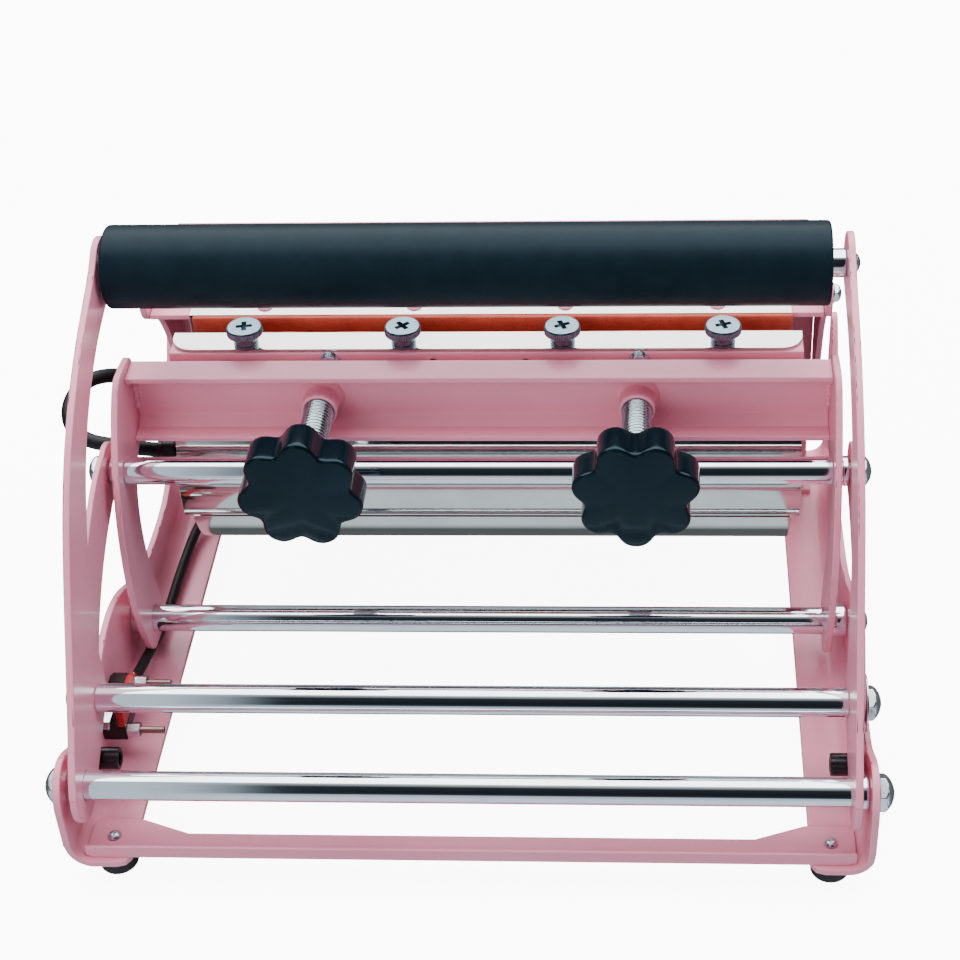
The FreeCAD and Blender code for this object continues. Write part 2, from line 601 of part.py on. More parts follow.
def boss(s):
    o = fuse([prim("Cylinder", Radius="params.boss_radius", Height="params.boss_height"), prim("Cone", Radius1=9.8, Radius2=7.6, Height=3.2)])
    return at(minus(o, shift(prim("Cylinder", Radius=6.45, Height=24.0), -5.0)), s * VAL["screw_span"], 147.0, SCREW_Z, "-y")


group("screw_bosses", [boss(s) for s in (-1, 1)])
rod("cross_bar_frame", P1, "params.rod_radius", "params.jaw_rod_length")
group("link_spacers", [ring(s * 153.0, P1[0], P1[1], "+x" if s > 0 else "-x", 6.4, 4.0, 3.5) for s in (-1, 1)])
group("link_bolts", [bolt(s * 150, P1[0], P1[1], "+x" if s > 0 else "-x", 4.0, 9.8, 8.4, 0.8, 7.2, 5.6) for s in (-1, 1)])

# ------------------------------------------------------------- front jaw
AF = 156.5
b = extrusion("jaw_angle", poly([yz(AF, 113.8), yz(AF + 2.5, 113.8), yz(AF + 2.5, 133.4), yz(169.5, 133.4), yz(169.5, 135.9), yz(AF, 135.9)]), "params.angle_length", "params.sleeve_shift")
SH = VAL["sleeve_shift"]
THUMB_X = (-101.5, -32.8, 35.9, 104.6)
THUMB_Y = 161.6
g = [circ(V(s * VAL["screw_span"] - SH, Z0 + SCREW_Z, 0), 3.55) for s in (-1, 1)] + [circ(V(s * 20 - SH, Z0 + 130.5, 0), 2.0) for s in (-1, 1)]
cut(b, sketch(b, "jaw_angle_holes", "XZ_Plane", g))
g = [circ(V(x - SH, THUMB_Y - Y0, 0), 3.1) for x in THUMB_X]
cut(b, sketch(b, "jaw_angle_thumb_holes", "XY_Plane", g, Z0 + 130), length=8, mid=False, rev=True)

ro, ri = 45.0, 43.8
a_o = math.degrees(math.acos((169.8 - HC[0]) / ro))
a_i = math.degrees(math.acos((171.0 - HC[0]) / ri))
A_FRONT = 196.5
g = [arc_pts(HC, ro, A_FRONT, a_o), line(yz(*pol(HC, ro, a_o)), yz(169.8, 136.0)), line(yz(169.8, 136.0), yz(157.5, 136.0)), line(yz(157.5, 136.0), yz(157.5, 137.2)),
     line(yz(157.5, 137.2), yz(171.0, 137.2)), line(yz(171.0, 137.2), yz(*pol(HC, ri, a_i))), arc_pts(HC, ri, a_i, A_FRONT),
     line(yz(*pol(HC, ri, A_FRONT)), yz(*pol(HC, ro, A_FRONT)))]
b = extrusion("front_shell", g, "params.shell_length", "params.sleeve_shift")
hx = VAL["shell_length"] / 2
cr = 10.0
g = []
for s in (-1, 1):
    k = math.sqrt(0.5)
    yf = 157.5 - Y0
    g += [line(V(s * (hx - cr), yf, 0), V(s * (hx + 1), yf, 0)), line(V(s * (hx + 1), yf, 0), V(s * (hx + 1), yf + cr, 0)),
          line(V(s * (hx + 1), yf + cr, 0), V(s * hx, yf + cr, 0)),
          arc(V(s * hx, yf + cr, 0), V(s * (hx - cr + cr * k), yf + cr - cr * k, 0), V(s * (hx - cr), yf, 0))]
g += [circ(V(x - SH, THUMB_Y - Y0, 0), 3.1) for x in THUMB_X]
cut(b, sketch(b, "front_shell_corners", "XY_Plane", g, Z0 + 135), length=4, mid=False, rev=True)

po, pi_ = 43.8, 39.5
a_o = math.degrees(math.acos((171.0 - HC[0]) / po))
a_i = math.degrees(math.acos((173.4 - HC[0]) / pi_))
g = [arc_pts(HC, po, 195.5, a_o), line(yz(*pol(HC, po, a_o)), yz(171.0, 136.0)), line(yz(171.0, 136.0), yz(173.4, 136.0)),
     line(yz(173.4, 136.0), yz(*pol(HC, pi_, a_i))), arc_pts(HC, pi_, a_i, 195.5), line(yz(*pol(HC, pi_, 195.5)), yz(*pol(HC, po, 195.5)))]
extrusion("front_heater_pad", g, "params.pad_length", "params.pad_shift")


def thumb(x):
    # high thumb screw: foot ring, neck, cone and a flat disc with a cross recess
    cone = shift(prim("Cone", Radius1=4.7, Radius2=7.3, Height=2.0), 3.9)
    head = fuse([cyl(5.3, 1.5), cyl(4.7, 2.8, 1.3), cone, cyl(7.7, 3.3, 5.7), cyl(7.2, 0.6, 8.9), shift(prim("Cylinder", Radius=2.9, Height=9.1), -9.0)])
    x1 = prim("Box", Length=6.4, Width=1.5, Height=2.0)
    x1.Placement = FreeCAD.Placement(V(-3.2, -0.75, 8.3), FreeCAD.Rotation())
    x2 = prim("Box", Length=1.5, Width=6.4, Height=2.0)
    x2.Placement = FreeCAD.Placement(V(-0.75, -3.2, 8.3), FreeCAD.Rotation())
    return at(minus(head, fuse([x1, x2])), x, THUMB_Y, 137.2)


group("thumb_screws", [thumb(x) for x in THUMB_X])
group("angle_screws", [at(fuse([cyl(4.2, 3.4), shift(prim("Cylinder", Radius=2.0, Height=2.2), -2.0)]), x, AF, 132.2, "-y") for x in (-64.8, 68.8)])

# glands where the leads leave the two heating pads
GF = pol(HC, 41.6, 153)
GR = pol(HR, 39.9, -10)


def gland(label, c):
    o = minus(fuse([cyl(2.0, 6.0), cyl(5.0, 5.7, 5.5), cyl(4.5, 2.5, 11.1)]), shift(prim("Cylinder", Radius=3.68, Height=20), 8.2))
    o.Label = label
    return at(o, -129.8, c[0], c[1], "-x")


gland("front_gland", GF)
gland("rear_gland", GR)

# ------------------------------------------------------------- knobs
KN = []
KY = 75.0


def knob(label, x, turn):
    b = new_body(label)
    pts = []
    n = 70
    for i in range(n):
        a = 2 * math.pi * i / n
        r = 24.1 + 2.4 * math.cos(7 * (a - turn)) - 0.35 * math.cos(14 * (a - turn))
        pts.append(V(r * math.sin(a), r * math.cos(a), 0))
    pad(b, sketch(b, label + "_outline", "XZ_Plane", [closed_spline(pts)]), "params.knob_thick", rev=True)
    f = body_fillet(b, label)
    return b


def body_fillet(b, label):
    edges = []
    for i, e in enumerate(b.Shape.Edges):
        if len(e.Vertexes) <= 2 and e.Length > 60:
            edges.append("Edge%d" % (i + 1))
    last = b.Tip
    f = b.newObject("PartDesign::Fillet", label + "_round")
    f.Base = (last, edges)
    f.Radius = 1.8
    doc.recompute()
    return f


def knob_set(side, s, turn):
    kb = knob("knob_" + side, 0, turn)
    kb.Placement = FreeCAD.Placement(V(s * VAL["screw_span"], KY - Y0, SCREW_Z + Z0), FreeCAD.Rotation())
    # threaded stem, shoulder, turned spigot and its retaining ring
    st = [prim("Cylinder", Radius="params.hub_radius", Height=6.0), prim("Cylinder", Radius="params.screw_radius", Height=64.0),
          cyl(3.5, 7.0, 63.9), cyl(5.0, 1.0, 67.4)]
    shift(st[1], 0.0)
    o = fuse(st)
    o.Label = "clamp_screw_" + side
    at(o, s * VAL["screw_span"], KY + 17.0, SCREW_Z, "+y")
    return kb


knob_set("left", -1, math.radians(3))
knob_set("right", 1, math.pi / 7)

# switch lever: sprung blade with a rolled eye, hinged on a pin above the switch
PV = (SW[0] - 1.0, SW[1] + 9.5)
b = new_body("switch_lever")
pad(b, sketch(b, "switch_lever_eye", "YZ_Plane", [circ(yz(*PV), 1.25), circ(yz(*PV), 0.6)]), length=4.0)
g = poly([yz(PV[0] - 1.0, PV[1] + 0.3), yz(SW[0] - 14, SW[1] + 10.2), yz(SW[0] - 22, SW[1] + 10.6), yz(SW[0] - 24.5, SW[1] + 8.6),
          yz(SW[0] - 24.0, SW[1] + 8.2), yz(SW[0] - 21.8, SW[1] + 10.0), yz(SW[0] - 14, SW[1] + 9.6), yz(PV[0] - 1.0, PV[1] - 0.35)])
pad(b, sketch(b, "switch_lever_blade", "YZ_Plane", g), length=4.0)
b.Placement.Base.x = -157.0
ears = [at(prim("Box", Length=1.5, Width=2.4, Height=3.0), x, PV[0] - 1.2, SW[1] + 7.9) for x in (-158.9, -152.6)]
o = fuse(ears + [at(prim("Cylinder", Radius=0.55, Height=7.8), -158.9, PV[0], PV[1], "+x")])
o.Label = "switch_pivot"


# ------------------------------------------------------------- leads
def route_tube(label, pts, dia):
    # straight runs joined by tangent arcs, swept with a round section
    n = len(pts)
    edges = []
    radii = []
    prev = pts[0]
    length = 0.0
    for i in range(1, n - 1):
        a = (pts[i - 1] - pts[i])
        c = (pts[i + 1] - pts[i])
        la, lc = a.Length, c.Length
        a = a / la
        c = c / lc
        turn = math.pi - a.getAngle(c)
        cutl = 0.45 * min(la, lc)
        r = cutl / math.tan(turn / 2)
        radii.append(round(r, 1))
        s0 = pts[i] + a * cutl
        s1 = pts[i] + c * cutl
        mid_dir = (a + c)
        mid_dir = mid_dir / mid_dir.Length
        dist = math.hypot(r, cutl) - r
        pm = pts[i] + mid_dir * dist
        if (s0 - prev).Length > 1e-6:
            edges.append(Part.LineSegment(prev, s0).toShape())
            length += (s0 - prev).Length
        edges.append(Part.Arc(s0, pm, s1).toShape())
        length += r * turn
        prev = s1
    edges.append(Part.LineSegment(prev, pts[-1]).toShape())
    length += (pts[-1] - prev).Length
    w = Part.Wire(edges)
    d = (pts[1] - pts[0])
    prof = Part.Wire([Part.Circle(pts[0], d, dia / 2.0).toShape()])
    tube = w.makePipeShell([prof], True, True)
    if tube.ShapeType != "Solid":
        tube = Part.Solid(tube)
    area = math.pi * dia * dia / 4
    print(label, "length", round(length, 1), "radii", radii, "volume ratio", round(tube.Volume / (area * length), 4))
    o = doc.addObject("Part::Feature", label)
    o.Label = label
    o.Shape = tube
    return o


def W(x, y, z):
    return V(x, y - Y0, z + Z0)


HEAT = [W(-138.8, GF[0], GF[1]), W(-158.5, 144.4, 94.2), W(-179.5, 147.0, 96.8), W(-186.5, 157.5, 104.5), W(-181.5, 173.0, 110.0),
        W(-170.0, 188.0, 104.0), W(-160.0, 208.0, 84.0), W(-157.0, 220.0, 66.0), W(-138.8, GR[0], GR[1])]
route_tube("heater_lead", HEAT, 6.6)
SWL = [W(-153.0, SW[0] + 15.0, SW[1] - 2.0), W(-153.0, SW[0] + 36.0, SW[1] - 8.5), W(-151.0, SW[0] + 68.0, 4.0), W(-150.5, SW[0] + 105.0, 5.0),
       W(-148.0, SW[0] + 140.0, 6.0), W(-138.0, SW[0] + 160.0, 12.0), W(-125.0, 238.5, 16.0)]
route_tube("switch_lead", SWL, 4.6)

doc.recompute()

NODES = ["side_frame_left", "side_frame_right", "front_cross_plate", "rear_cross_plate", "foot_screws", "rubber_feet", "rear_panel",
         "panel_foot_screws", "supply_gland", "rear_bracket", "rear_cheek_left", "rear_cheek_right", "cheek_bolts", "rear_shell",
         "rear_clamp_screws", "rear_heater_pad", "pivot_bar_lever", "pivot_bar_frame", "lever_pivot_bolts", "frame_pivot_bolts",
         "lever_pivot_spacers", "frame_pivot_spacers", "stop_bumpers", "bumper_screws", "switch_body", "switch_cap", "switch_screws",
         "switch_terminals", "lever_left", "lever_right", "cross_bar_lever", "grip_axle", "lever_link_bolts", "grip_bolts", "grip_sleeve",
         "grip_bushings", "link_left", "link_right", "frame_plate_left", "frame_plate_right", "channel_beam", "screw_bosses",
         "cross_bar_frame", "link_spacers", "link_bolts", "jaw_angle", "front_shell", "front_heater_pad", "thumb_screws", "angle_screws",
         "front_gland", "rear_gland", "switch_pivot", "knob_left", "knob_right", "clamp_screw_left", "clamp_screw_right", "switch_lever",
         "heater_lead", "switch_lead"]

bad = [o.Label for o in doc.Objects if "Invalid" in o.State or "Error" in o.State]
if bad:
    print("objects in error:", bad)
for n in NODES:
    found = doc.getObjectsByLabel(n)
    if len(found) != 1:
        print("label problem", n, len(found))
    o = found[0]
    if o.Shape.isNull() or not o.Shape.isValid():
        print("bad shape", n)
    o.Shape.exportStep("parts/" + n + ".step")
print(len(NODES), "nodes")
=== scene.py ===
import bpy
import bmesh
import json
import math
from mathutils import Vector, Matrix, noise


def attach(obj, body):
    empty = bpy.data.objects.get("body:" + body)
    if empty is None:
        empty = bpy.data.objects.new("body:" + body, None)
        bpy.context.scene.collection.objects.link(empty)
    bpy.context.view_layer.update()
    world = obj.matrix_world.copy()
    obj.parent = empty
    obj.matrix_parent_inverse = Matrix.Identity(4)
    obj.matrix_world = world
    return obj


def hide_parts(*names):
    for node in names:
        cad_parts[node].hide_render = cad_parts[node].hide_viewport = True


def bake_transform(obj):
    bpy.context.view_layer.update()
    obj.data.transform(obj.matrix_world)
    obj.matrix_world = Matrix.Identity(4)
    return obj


# Looks of a hand-lever tumbler press: pink powder-coated sheet, bright bars,
# zinc hardware, stainless sleeve halves with silicone pads, black grip and knobs.

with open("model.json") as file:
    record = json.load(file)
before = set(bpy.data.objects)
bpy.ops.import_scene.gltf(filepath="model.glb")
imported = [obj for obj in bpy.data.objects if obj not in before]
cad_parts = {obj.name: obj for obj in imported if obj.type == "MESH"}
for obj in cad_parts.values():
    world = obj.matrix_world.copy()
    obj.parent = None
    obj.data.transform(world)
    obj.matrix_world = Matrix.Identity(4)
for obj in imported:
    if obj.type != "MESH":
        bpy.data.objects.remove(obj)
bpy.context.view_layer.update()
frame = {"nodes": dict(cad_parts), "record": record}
NODES = frame["nodes"]
BODY = {n: b for b, ns in frame["record"]["behaviour"]["bodies"].items() for n in ns}
SCENE = bpy.context.scene
MM = 0.001


def P(x, y, z):
    # side-view layout coordinates in millimetres to the shared frame in metres
    return Vector((x * MM, (y - 126.5) * MM, (z + 13.0) * MM))


def lin(r, g, b):
    def f(c):
        c /= 255.0
        return c / 12.92 if c <= 0.04045 else ((c + 0.055) / 1.055) ** 2.4
    return (f(r), f(g), f(b), 1.0)


# ---------------------------------------------------------------- camera
F_PX, CX, CY = 2008.08, 545.01, 462.62
pitch, yaw, roll = (math.radians(v) for v in (37.160, -4.117, -2.493))
f0 = Vector((math.sin(yaw), math.cos(yaw), 0))
r0 = Vector((math.cos(yaw), -math.sin(yaw), 0))
u0 = Vector((0, 0, 1))
fwd = f0 * math.cos(pitch) - u0 * math.sin(pitch)
up = u0 * math.cos(pitch) + f0 * math.sin(pitch)
r2 = r0 * math.cos(roll) + up * math.sin(roll)
u2 = -r0 * math.sin(roll) + up * math.cos(roll)
cam_data = bpy.data.cameras.new("camera")
cam = bpy.data.objects.new("camera", cam_data)
SCENE.collection.objects.link(cam)
cam_data.sensor_fit = "HORIZONTAL"
cam_data.sensor_width = 36.0
cam_data.lens = F_PX * 36.0 / 960.0
cam_data.shift_x = -(CX - 480.0) / 960.0
cam_data.shift_y = (CY - 480.0) / 960.0
cam_data.clip_start, cam_data.clip_end = 0.02, 50.0
eye = Vector((0.077746, -0.683032, 0.631391))
cam.matrix_world = Matrix(((r2.x, u2.x, -fwd.x, eye.x), (r2.y, u2.y, -fwd.y, eye.y),
                           (r2.z, u2.z, -fwd.z, eye.z), (0, 0, 0, 1)))
SCENE.camera = cam


# ---------------------------------------------------------------- materials
def material(name):
    m = bpy.data.materials.new(name)
    m.use_nodes = True
    return m, m.node_tree, m.node_tree.nodes["Principled BSDF"]


def coords(nt, scale=(1, 1, 1)):
    tc = nt.nodes.new("ShaderNodeTexCoord")
    mp = nt.nodes.new("ShaderNodeMapping")
    mp.inputs["Scale"].default_value = scale
    nt.links.new(tc.outputs["Object"], mp.inputs["Vector"])
    return mp.outputs["Vector"]


def noise_tex(nt, vec, scale, detail=3.0, rough=0.5):
    n = nt.nodes.new("ShaderNodeTexNoise")
    n.inputs["Scale"].default_value = scale
    n.inputs["Detail"].default_value = detail
    n.inputs["Roughness"].default_value = rough
    nt.links.new(vec, n.inputs["Vector"])
    return n.outputs["Fac"]


def ramp(nt, fac, stops):
    r = nt.nodes.new("ShaderNodeValToRGB")
    el = r.color_ramp.elements
    while len(el) < len(stops):
        el.new(0.5)
    for e, (p, c) in zip(el, stops):
        e.position = p
        e.color = c
    nt.links.new(fac, r.inputs["Fac"])
    return r.outputs["Color"]


def spread(nt, fac, lo, hi, f0=0.25, f1=0.75):
    m = nt.nodes.new("ShaderNodeMapRange")
    m.inputs["From Min"].default_value = f0
    m.inputs["From Max"].default_value = f1
    m.inputs["To Min"].default_value = lo
    m.inputs["To Max"].default_value = hi
    nt.links.new(fac, m.inputs["Value"])
    return m.outputs["Result"]


def bump(nt, bsdf, height, strength, distance, socket="Normal"):
    b = nt.nodes.new("ShaderNodeBump")
    b.inputs["Strength"].default_value = strength
    b.inputs["Distance"].default_value = distance
    nt.links.new(height, b.inputs["Height"])
    nt.links.new(b.outputs["Normal"], bsdf.inputs[socket])


def coated(name, dark, mid, light):
    # powder coat: slight colour drift, orange peel under a clear glossy skin
    m, nt, b = material(name)
    v = coords(nt)
    big = noise_tex(nt, v, 14.0, 4.0, 0.55)
    nt.links.new(ramp(nt, big, [(0.25, dark), (0.5, mid), (0.78, light)]), b.inputs["Base Color"])
    fine = noise_tex(nt, v, 620.0, 3.0, 0.55)
    nt.links.new(spread(nt, fine, 0.26, 0.40), b.inputs["Roughness"])
    bump(nt, b, fine, 0.16, 0.00022)
    b.inputs["Coat Weight"].default_value = 0.12
    b.inputs["Coat Roughness"].default_value = 0.07
    b.inputs["Specular IOR Level"].default_value = 0.4
    return m


def metal(name, dark, light, r_lo, r_hi, scale, grain, strength, distance):
    m, nt, b = material(name)
    v = coords(nt, scale)
    n = noise_tex(nt, v, grain, 4.0, 0.6)
    w = noise_tex(nt, coords(nt), 60.0, 3.0, 0.55)
    nt.links.new(ramp(nt, w, [(0.3, dark), (0.72, light)]), b.inputs["Base Color"])
    b.inputs["Metallic"].default_value = 1.0
    nt.links.new(spread(nt, n, r_lo, r_hi), b.inputs["Roughness"])
    bump(nt, b, n, strength, distance)
    return m


def soft(name, dark, light, r_lo, r_hi, grain, strength, distance, coat=0.0, coat_r=0.1, level=0.5, tint=(1, 1, 1, 1)):
    m, nt, b = material(name)
    v = coords(nt)
    n = noise_tex(nt, v, grain, 4.0, 0.6)
    w = noise_tex(nt, v, grain * 0.06, 3.0, 0.5)
    nt.links.new(ramp(nt, w, [(0.3, dark), (0.72, light)]), b.inputs["Base Color"])
    nt.links.new(spread(nt, n, r_lo, r_hi), b.inputs["Roughness"])
    bump(nt, b, n, strength, distance)
    b.inputs["Specular IOR Level"].default_value = level
    b.inputs["Specular Tint"].default_value = tint
    b.inputs["Coat Weight"].default_value = coat
    b.inputs["Coat Roughness"].default_value = coat_r
    return m


PINK = coated("pink_powder_coat", lin(226, 138, 163), lin(230, 144, 168), lin(234, 150, 173))
CHROME = metal("bright_bar", (0.78, 0.83, 0.87, 1), (0.87, 0.91, 0.95, 1), 0.03, 0.09, (6, 900, 900), 1.0, 0.02, 0.00004)
ZINC = metal("zinc_plate", (0.66, 0.72, 0.76, 1), (0.82, 0.87, 0.90, 1), 0.18, 0.30, (1, 1, 1), 420.0, 0.06, 0.0001)
STEEL = metal("stainless_sheet", (0.60, 0.61, 0.58, 1), (0.68, 0.69, 0.66, 1), 0.05, 0.09, (5, 700, 700), 1.0, 0.008, 0.00002)
GRIP = soft("grip_sleeve_black", (0.0035, 0.0085, 0.013, 1), (0.005, 0.012, 0.018, 1), 0.38, 0.48, 1500.0, 0.10, 0.0001, level=0.14,
            tint=(0.62, 0.88, 1.0, 1))
KNOB = soft("knob_black", (0.002, 0.004, 0.007, 1), (0.003, 0.007, 0.011, 1), 0.14, 0.21, 900.0, 0.04, 0.00008, 0.04, 0.05, 0.26,
            (0.42, 0.82, 1.0, 1))
RUBBER = soft("rubber_black", (0.006, 0.006, 0.007, 1), (0.012, 0.012, 0.013, 1), 0.50, 0.66, 1100.0, 0.18, 0.00015, level=0.35)
STOP = soft("stop_rubber", (0.004, 0.004, 0.005, 1), (0.007, 0.007, 0.008, 1), 0.20, 0.30, 1100.0, 0.08, 0.0001, level=0.45)
PLASTIC = soft("switch_black", (0.005, 0.004, 0.005, 1), (0.010, 0.008, 0.009, 1), 0.30, 0.42, 1600.0, 0.10, 0.0001, level=0.4)
RED = soft("switch_red", lin(158, 22, 26), lin(190, 36, 36), 0.30, 0.42, 1200.0, 0.08, 0.0001)
SHEATH = soft("lead_sheath", (0.004, 0.004, 0.005, 1), (0.008, 0.008, 0.009, 1), 0.42, 0.55, 900.0, 0.12, 0.0001, level=0.28)
BLUED = metal("blue_zinc", (0.17, 0.25, 0.30, 1), (0.23, 0.32, 0.37, 1), 0.24, 0.36, (1, 1, 1), 420.0, 0.06, 0.0001)
TEAL_ZINC = metal("thread_zinc", (0.44, 0.55, 0.59, 1), (0.58, 0.69, 0.73, 1), 0.16, 0.26, (1, 1, 1), 420.0, 0.05, 0.0001)
COPPER = metal("coppery_thread", (0.30, 0.19, 0.17, 1), (0.40, 0.27, 0.24, 1), 0.28, 0.42, (1, 1, 1), 520.0, 0.06, 0.0001)


def silicone():
    m, nt, b = material("silicone_pad")
    v = coords(nt)
    big = noise_tex(nt, v, 90.0, 4.0, 0.6)
    fine = noise_tex(nt, v, 1500.0, 3.0, 0.65)
    base = ramp(nt, big, [(0.3, lin(160, 56, 42)), (0.7, lin(182, 72, 54))])
    vor = nt.nodes.new("ShaderNodeTexVoronoi")
    vor.inputs["Scale"].default_value = 900.0
    nt.links.new(v, vor.inputs["Vector"])
    fleck = spread(nt, vor.outputs["Distance"], 1.0, 0.0, 0.12, 0.28)
    mix = nt.nodes.new("ShaderNodeMix")
    mix.data_type = "RGBA"
    mix.inputs["B"].default_value = lin(118, 40, 34)
    nt.links.new(base, mix.inputs["A"])
    nt.links.new(fleck, mix.inputs["Factor"])
    nt.links.new(mix.outputs["Result"], b.inputs["Base Color"])
    nt.links.new(spread(nt, fine, 0.58, 0.78), b.inputs["Roughness"])
    bump(nt, b, fine, 0.35, 0.0002)
    return m


SILICONE = silicone()


# ---------------------------------------------------------------- mesh tools
def finish_mesh(name, bm, mat, sharp=38.0, weighted=True):
    bmesh.ops.recalc_face_normals(bm, faces=bm.faces)
    me = bpy.data.meshes.new(name)
    bm.to_mesh(me)
    bm.free()
    me.materials.append(mat)
    me.polygons.foreach_set("use_smooth", [True] * len(me.polygons))
    me.set_sharp_from_angle(angle=math.radians(sharp))
    o = bpy.data.objects.new(name, me)
    SCENE.collection.objects.link(o)
    if weighted:
        w = o.modifiers.new("weighted", "WEIGHTED_NORMAL")
        w.keep_sharp = True
    return o


def refine(node, mat, width, seg=2, angle=32.0):
    # clean copy of a node with rolled edges, standing for the node
    bm = bmesh.new()
    bm.from_mesh(NODES[node].data)
    bmesh.ops.remove_doubles(bm, verts=bm.verts, dist=2e-6)
    bmesh.ops.dissolve_limit(bm, angle_limit=math.radians(0.4), verts=bm.verts, edges=bm.edges)
    bm.normal_update()
    if width > 0:
        edges = [e for e in bm.edges if len(e.link_faces) == 2 and e.calc_face_angle(0.0) > math.radians(angle)]
        bmesh.ops.bevel(bm, geom=edges, offset=width * MM, offset_type="OFFSET", segments=seg, profile=0.5,
                        affect="EDGES", clamp_overlap=False)
    o = finish_mesh(node + "_part", bm, mat)
    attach(o, BODY[node])
    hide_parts(node)
    return o


def grid_rings(bm, rings, closed_u=True, cap0=True, cap1=True):
    vs = [[bm.verts.new(p) for p in ring] for ring in rings]
    n = len(vs[0])
    for a, b in zip(vs, vs[1:]):
        for i in range(n if closed_u else n - 1):
            j = (i + 1) % n
            bm.faces.new((a[i], a[j], b[j], b[i]))
    if cap0:
        bm.faces.new(vs[0])
    if cap1:
        bm.faces.new(list(reversed(vs[-1])))
    return vs


def rounded(profile, seg=4):
    # profile: (r, t, radius) corners; corners with a radius are rounded
    out = []
    n = len(profile)
    for i, (r, t, rad) in enumerate(profile):
        if rad <= 0 or i == 0 or i == n - 1:
            out.append((r, t))
            continue
        p = Vector((r, t))
        a = Vector(profile[i - 1][:2]) - p
        b = Vector(profile[i + 1][:2]) - p
        k = min(rad, 0.49 * a.length, 0.49 * b.length)
        s, e = p + a.normalized() * k, p + b.normalized() * k
        for j in range(seg + 1):
            u = j / seg
            q = s * (1 - u) ** 2 + p * 2 * u * (1 - u) + e * u * u
            out.append((q.x, q.y))
    return out


def lathe_rings(profile, segs, origin, axis, wobble=None):
    ax = Vector(axis).normalized()
    side = ax.orthogonal().normalized()
    if abs(ax.y) > 0.9 or abs(ax.x) > 0.9:
        side = Vector((0, 0, 1))
    third = ax.cross(side)
    rings = []
    for r, t in profile:
        ring = []
        for i in range(segs):
            a = 2 * math.pi * i / segs
            rr = r + (wobble(a, r, t) if wobble else 0.0)
            ring.append(origin + ax * (t * MM) + (side * math.cos(a) + third * math.sin(a)) * (rr * MM))
        rings.append(ring)
    return rings


def tube_mesh(bm, pts, radius, segs=18):
    # tube along points, frame carried without twist, ends closed
    n = len(pts)
    tang = [(pts[min(i + 1, n - 1)] - pts[max(i - 1, 0)]).normalized() for i in range(n)]
    side = tang[0].orthogonal().normalized()
    rings = []
    for i in range(n):
        side = (side - tang[i] * side.dot(tang[i])).normalized()
        other = tang[i].cross(side)
        rr = radius(i / (n - 1)) if callable(radius) else radius
        rings.append([pts[i] + (side * math.cos(2 * math.pi * k / segs) + other * math.sin(2 * math.pi * k / segs)) * rr
                      for k in range(segs)])
    grid_rings(bm, rings)


def nurbs_points(points, name):
    # points along the smooth line that has the route's points as controls
    cu = bpy.data.curves.new(name, "CURVE")
    cu.dimensions = "3D"
    cu.resolution_u = 24
    sp = cu.splines.new("NURBS")
    sp.points.add(len(points) - 1)
    for q, p in zip(sp.points, points):
        q.co = (p.x, p.y, p.z, 1.0)
    sp.order_u = 3
    sp.use_endpoint_u = True
    ob = bpy.data.objects.new(name, cu)
    SCENE.collection.objects.link(ob)
    dg = bpy.context.evaluated_depsgraph_get()
    me = bpy.data.meshes.new_from_object(ob.evaluated_get(dg))
    pts = [v.co.copy() for v in me.vertices]
    bpy.data.objects.remove(ob)
    bpy.data.meshes.remove(me)
    return pts


# ---------------------------------------------------------------- leads
GF = (181.0 + 41.6 * math.cos(math.radians(153)), 74.0 + 41.6 * math.sin(math.radians(153)))
GR = (181.0 + 39.9 * math.cos(math.radians(-10)), 70.0 + 39.9 * math.sin(math.radians(-10)))
HEAT = [P(-138.8, GF[0], GF[1]), P(-158.5, 144.4, 94.2), P(-179.5, 147.0, 96.8), P(-186.5, 157.5, 104.5), P(-181.5, 173.0, 110.0),
        P(-170.0, 188.0, 104.0), P(-160.0, 208.0, 84.0), P(-157.0, 220.0, 66.0), P(-138.8, GR[0], GR[1])]
SWL = [P(-153.0, 76.0, 16.5), P(-153.0, 97.0, 10.0), P(-151.0, 129.0, 4.0), P(-150.5, 166.0, 5.0),
       P(-148.0, 201.0, 6.0), P(-138.0, 221.0, 12.0), P(-125.0, 238.5, 16.0)]


def lead(name, route, dia, node):
    pts = nurbs_points(route, name + "_line")
    bm = bmesh.new()
    tube_mesh(bm, pts, dia * 0.5 * MM, 20)
    o = finish_mesh(name, bm, SHEATH, 60.0, False)
    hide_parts(node)
    return o, pts


heat, heat_pts = lead("heater_lead_tube", HEAT, 6.6, "heater_lead")
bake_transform(heat)
swl, swl_pts = lead("switch_lead_tube", SWL, 4.6, "switch_lead")
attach(swl, "base")

# ---------------------------------------------------------------- plates and hardware
for n in ("side_frame_left", "side_frame_right", "lever_left", "lever_right", "frame_plate_left", "frame_plate_right",
          "rear_cheek_left", "rear_cheek_right"):
    refine(n, PINK, 0.55, 3)
for n in ("front_cross_plate", "rear_cross_plate", "rear_panel", "rear_bracket", "link_left", "link_right", "channel_beam",
          "jaw_angle"):
    refine(n, PINK, 0.5, 3)
refine("screw_bosses", PINK, 0.5, 3)
for n in ("pivot_bar_lever", "pivot_bar_frame", "cross_bar_lever", "cross_bar_frame", "grip_axle", "lever_pivot_spacers",
          "frame_pivot_spacers", "link_spacers"):
    refine(n, CHROME, 0.6, 2)
for n in ("rear_shell", "front_shell"):
    refine(n, STEEL, 0.3, 2)
for n in ("lever_pivot_bolts", "frame_pivot_bolts", "lever_link_bolts", "link_bolts", "grip_bolts", "cheek_bolts"):
    refine(n, ZINC, 0.3, 2)
for n in ("foot_screws", "panel_foot_screws", "bumper_screws", "switch_terminals"):
    refine(n, ZINC, 0.15, 2)
refine("rear_clamp_screws", PINK, 0.15, 2)


